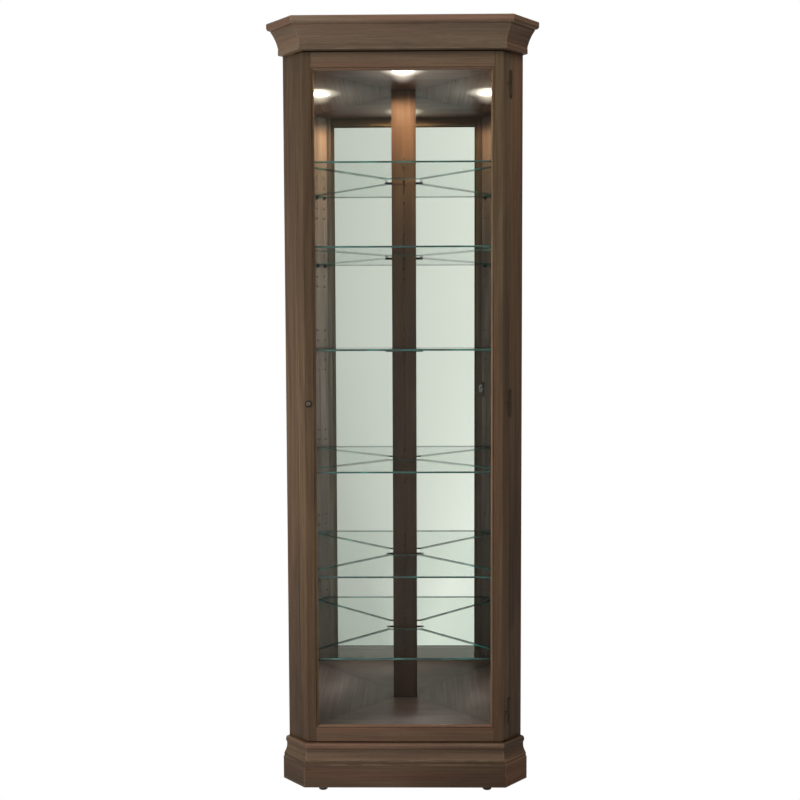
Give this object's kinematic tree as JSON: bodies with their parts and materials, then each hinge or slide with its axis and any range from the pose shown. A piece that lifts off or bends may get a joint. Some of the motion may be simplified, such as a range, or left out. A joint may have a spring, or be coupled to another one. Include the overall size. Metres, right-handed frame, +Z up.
{
  "type": "corner display cabinet",
  "caption": "Corner china cabinet with mirrored back walls, glass shelves, ceiling lamp, screw feet and a framed glass door that locks.",
  "frame": {"origin": "on the floor, under the centre of the overall plan", "axes": "+Z up, the door faces -Y, and +Y points into the corner of the room; +X is to the right seen from the front"},
  "size_m": [0.705, 0.398, 2.032],
  "materials": {
    "wood": "grey-brown satin lacquer with reddish streaks",
    "veneered_board": "grey-brown satin veneer",
    "back_panel": "plain brown hardboard",
    "base_timber": "unfinished softwood",
    "mirror": "silvered, slightly green",
    "shelf_glass": "clear with polished green edges",
    "door_glass": "clear",
    "dark_bronze": "antique bronze, satin, darker on the lock",
    "steel": "nickel-plated, dull on the shelf pins",
    "foot_plastic": "dark brown glide",
    "lamp_metal": "satin nickel",
    "lamp_lens": "frosted, lit",
    "rubber": "matt black"
  },
  "bodies": {
    "case": {"back_post": "wood", "base_cap_front": "wood", "base_cap_left": "wood", "base_cap_right": "wood", "base_front_board": "wood", "cable_grommet": "rubber", "case_screws": "dark_bronze", "ceiling_board": "veneered_board", "crown_front": "wood", "crown_left": "wood", "crown_right": "wood", "deck_board": "veneered_board", "foot_blocks": "base_timber", "foot_inserts": "steel", "frieze_board": "wood", "glass_shelf_1": "shelf_glass", "glass_shelf_2": "shelf_glass", "glass_shelf_3": "shelf_glass", "glass_shelf_4": "shelf_glass", "glass_shelf_5": "shelf_glass", "glass_shelf_6": "shelf_glass", "header_rail": "wood", "hinge_case_leaves": "dark_bronze", "hinge_pins": "dark_bronze", "lamp_bulb": "lamp_lens", "lamp_housing": "lamp_metal", "lamp_lens": "lamp_lens", "lamp_trim_ring": "lamp_metal", "left_back_panel": "back_panel", "left_base_rail": "base_timber", "left_mirror": "mirror", "left_side_board": "wood", "lock_strike": "dark_bronze", "plinth_front": "wood", "plinth_left": "wood", "plinth_right": "wood", "right_back_panel": "back_panel", "right_base_rail": "base_timber", "right_mirror": "mirror", "right_side_board": "wood", "shelf_pins": "steel", "top_board": "veneered_board"},
    "door": {"door_left_stile": "wood", "door_right_stile": "wood", "door_top_rail": "wood", "door_bottom_rail": "wood", "door_glass": "door_glass", "glass_stops": "wood", "hinge_door_leaves": "dark_bronze", "door_screws": "dark_bronze", "lock_barrel": "dark_bronze", "lock_nut": "steel", "door_bumpers": "rubber"},
    "lock": {"lock_plug": "dark_bronze", "lock_cam": "steel"},
    "left_front_foot": {"left_front_foot": "foot_plastic"},
    "right_front_foot": {"right_front_foot": "foot_plastic"},
    "left_rear_foot": {"left_rear_foot": "foot_plastic"},
    "right_rear_foot": {"right_rear_foot": "foot_plastic"}
  },
  "joints": [
    {"name": "door_hinge", "type": "hinge", "parent": "case", "child": "door", "pos_m": [0.28, -0.125, 1.049], "axis": [0, 0, 1], "range_deg": [0, 120]},
    {"name": "lock_turn", "type": "hinge", "parent": "door", "child": "lock", "pos_m": [-0.2495, -0.121, 1.049], "axis": [0, -1, 0], "range_deg": [0, 90]},
    {"name": "left_front_foot_screw", "type": "slide", "parent": "case", "child": "left_front_foot", "axis": [0, 0, -1], "range_m": [0, 0.012]},
    {"name": "right_front_foot_screw", "type": "slide", "parent": "case", "child": "right_front_foot", "axis": [0, 0, -1], "range_m": [0, 0.012]},
    {"name": "left_rear_foot_screw", "type": "slide", "parent": "case", "child": "left_rear_foot", "axis": [0, 0, -1], "range_m": [0, 0.012]},
    {"name": "right_rear_foot_screw", "type": "slide", "parent": "case", "child": "right_rear_foot", "axis": [0, 0, -1], "range_m": [0, 0.012]}
  ]
}
